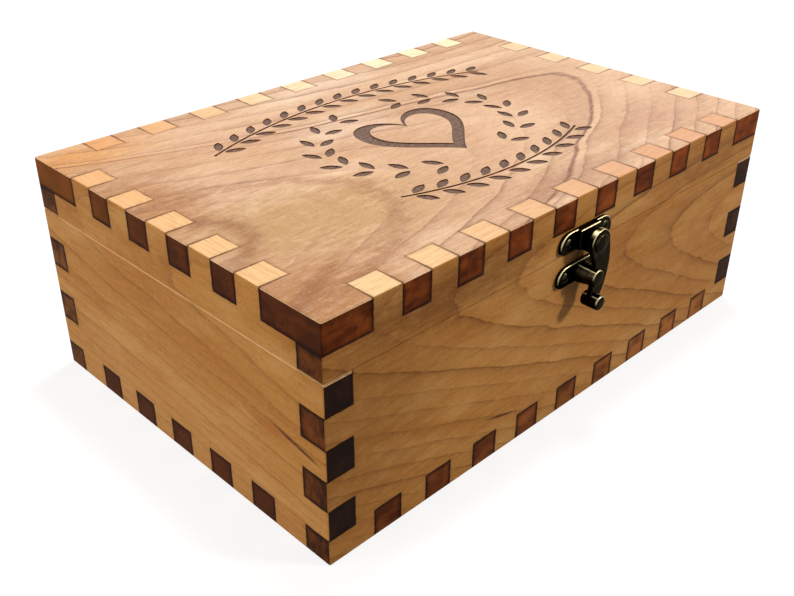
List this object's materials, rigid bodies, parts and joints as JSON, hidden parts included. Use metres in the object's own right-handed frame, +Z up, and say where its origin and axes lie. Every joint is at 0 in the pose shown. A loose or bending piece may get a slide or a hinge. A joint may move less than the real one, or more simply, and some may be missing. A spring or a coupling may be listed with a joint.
{
  "type": "keepsake box",
  "caption": "Finger-jointed wooden box with a hinged lid, a swing-hook latch on the front and an engraved ornament on the lid.",
  "frame": {"origin": "centre of the box's flat underside", "axes": "+X to the right along the front, +Y to the back, +Z up; the lid is shut and latched"},
  "size_m": [0.203, 0.1493, 0.0758],
  "materials": {
    "lid_wood": "satin oiled light wood with a strong ring figure, laser-charred edges, dark brown engraving",
    "wall_wood": "satin oiled golden wood, laser-charred finger edges",
    "floor_wood": "satin oiled golden wood, laser-charred finger edges",
    "latch_brass": "near-black antique bronze plating worn to warm brass on the edges",
    "hinge_brass": "near-black antique bronze plating worn to warm brass on the edges",
    "screw_brass": "antique bronze plating, slotted round heads"
  },
  "bodies": {
    "box": {"body_front": "wall_wood", "body_back": "wall_wood", "body_left_end": "wall_wood", "body_right_end": "wall_wood", "body_bottom_panel": "floor_wood", "hinge_left_body_leaf": "hinge_brass", "hinge_right_body_leaf": "hinge_brass", "hinge_left_pin": "hinge_brass", "hinge_right_pin": "hinge_brass", "hinge_body_screws": "screw_brass", "latch_lower_plate": "latch_brass", "latch_catch_pin": "latch_brass", "latch_lower_screws": "screw_brass"},
    "lid": {"lid_top_panel": "lid_wood", "lid_front": "wall_wood", "lid_back": "wall_wood", "lid_left_end": "wall_wood", "lid_right_end": "wall_wood", "hinge_left_lid_leaf": "hinge_brass", "hinge_right_lid_leaf": "hinge_brass", "hinge_lid_screws": "screw_brass", "latch_upper_plate": "latch_brass", "latch_pivot_rivet": "latch_brass", "latch_upper_screws": "screw_brass"},
    "hook": {"latch_hook": "latch_brass", "latch_knob": "latch_brass"}
  },
  "joints": [
    {"name": "lid_hinge", "type": "hinge", "parent": "box", "child": "lid", "pos_m": [0, 0.06905, 0.0584], "axis": [-1, 0, 0], "range_deg": [0, 100]},
    {"name": "hook_swing", "type": "hinge", "parent": "lid", "child": "hook", "pos_m": [0, -0.07195, 0.0618], "axis": [0, -1, 0], "range_deg": [0, 180]}
  ]
}
